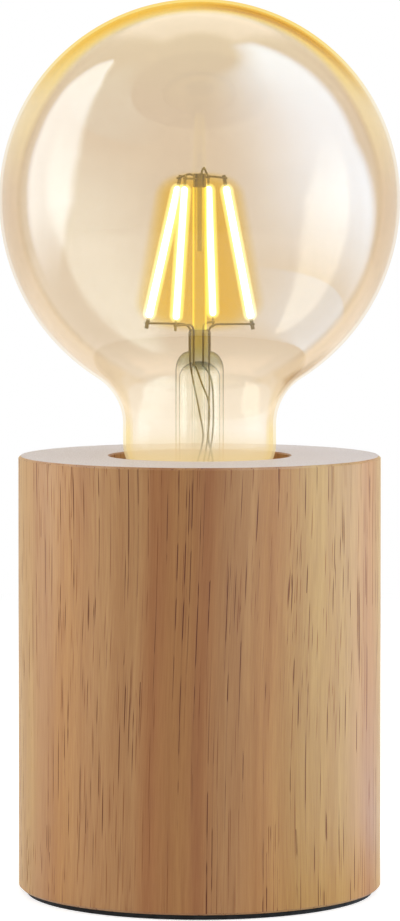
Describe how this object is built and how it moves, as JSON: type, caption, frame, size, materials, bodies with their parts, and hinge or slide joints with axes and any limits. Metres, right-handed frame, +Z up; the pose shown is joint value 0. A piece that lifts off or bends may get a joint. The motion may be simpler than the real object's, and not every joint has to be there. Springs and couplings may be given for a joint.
{
  "type": "bare bulb table lamp",
  "caption": "Turned wooden cylinder lamp base with a round well that holds a screw lampholder and a large clear amber globe filament bulb.",
  "frame": {"origin": "centre of the foot pad's underside, on the lamp's axis", "axes": "+Z up along the lamp's axis, -Y to the front as pictured, +X to the right"},
  "size_m": [0.1104, 0.1104, 0.2462],
  "materials": {
    "beech": "smooth lacquered beech with fine dark pores",
    "foot_rubber": "matt",
    "black_plastic": "fine satin moulding",
    "nipple_steel": "zinc-plated",
    "contact_brass": "rolled sheet",
    "block_ceramic": "unglazed",
    "cap_nickel": "nickel-plated",
    "tip_solder": "dull solder",
    "cap_glass_black": "black vitreous insulator",
    "cement": "basing cement",
    "amber_glass": "clear amber-coated glass",
    "stem_glass": "clear lead glass",
    "mount_metal": "thin nickel wire, warm in the amber light",
    "filament_glow": "phosphor-coated, lit",
    "board_green": "white solder mask",
    "part_black": "moulded chip",
    "capacitor_can": "sleeved can"
  },
  "bodies": {
    "lamp_base": {"wood_base": "beech", "base_pad": "foot_rubber", "cable_grommet": "black_plastic", "threaded_nipple": "nipple_steel", "nipple_washer": "nipple_steel", "nipple_nut": "nipple_steel", "grub_screw": "nipple_steel", "holder_cap": "black_plastic", "holder_skirt": "black_plastic", "contact_block": "block_ceramic", "contact_rivets": "contact_brass", "screw_shell": "contact_brass", "contact_foot": "contact_brass", "terminal_clamps": "contact_brass", "terminal_screws": "nipple_steel"},
    "contact_tongue": {"centre_contact": "contact_brass"},
    "bulb_tip": {"tip_contact": "tip_solder"},
    "bulb": {"cap_shell": "cap_nickel", "cap_insulator": "cap_glass_black", "cap_cement": "cement", "glass_envelope": "amber_glass", "stem_glass": "stem_glass", "exhaust_tube": "stem_glass", "centre_post": "stem_glass", "support_pin": "mount_metal", "post_crimp": "mount_metal", "led_filaments": "filament_glow", "filament_tabs": "mount_metal", "lower_arms": "mount_metal", "upper_arms": "mount_metal", "lead_wires": "mount_metal", "driver_board": "board_green", "driver_capacitor": "capacitor_can", "driver_chips": "part_black"}
  },
  "joints": [
    {"name": "bulb_rise", "type": "slide", "parent": "lamp_base", "child": "bulb_tip", "axis": [0, 0, 1], "range_m": [0, 0.0165]},
    {"name": "bulb_turn", "type": "hinge", "parent": "bulb_tip", "child": "bulb", "pos_m": [0, 0, 0.0835], "axis": [0, 0, 1], "range_deg": [0, 1620]},
    {"name": "contact_flex", "type": "hinge", "parent": "lamp_base", "child": "contact_tongue", "pos_m": [-0.0056, 0, 0.081], "axis": [0, -1, 0], "range_deg": [-5, 0], "stiffness_Nm_per_rad": 0.35, "springref_deg": 8.59}
  ],
  "couplings": [
    {"joint": "bulb_rise", "follows": "bulb_turn", "m_per_rad": 0.0005775}
  ]
}
